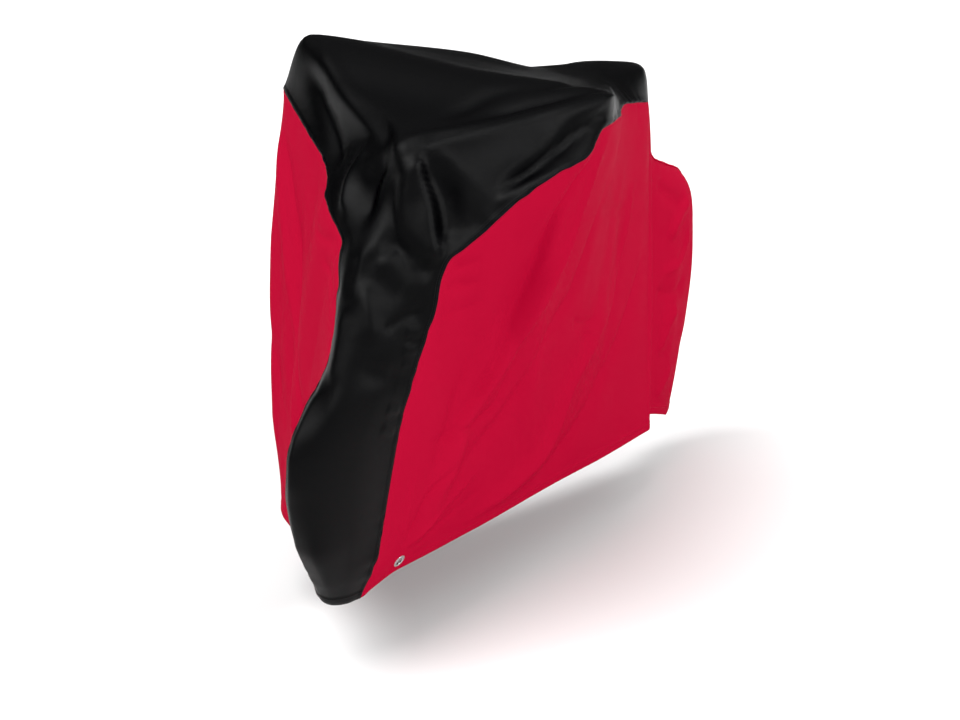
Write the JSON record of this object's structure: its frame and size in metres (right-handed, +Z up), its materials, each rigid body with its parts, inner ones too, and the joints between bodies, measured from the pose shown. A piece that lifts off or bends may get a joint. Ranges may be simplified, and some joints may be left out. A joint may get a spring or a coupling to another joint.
{
  "type": "bicycle cover",
  "caption": "Fitted bicycle cover of coated cloth, a black centre panel between red side panels, open at its hem, with an eyelet on each side.",
  "frame": {"origin": "underside of the top near its rear end, where the covered thing holds the cover up", "axes": "+X towards the rear end, +Y towards the right side, +Z up"},
  "size_m": [1.6886, 0.7025, 0.9998],
  "materials": {
    "black_cloth": "coated plain weave, soft sheen",
    "red_cloth": "coated plain weave, soft sheen",
    "eyelet_metal": "satin"
  },
  "bodies": {
    "root": {"centre_panel": "black_cloth", "side_panel_left": "red_cloth", "side_panel_right": "red_cloth", "eyelet_strip_left": "red_cloth", "eyelet_strip_right": "red_cloth", "eyelet_left": "eyelet_metal", "eyelet_right": "eyelet_metal"}
  },
  "joints": []
}
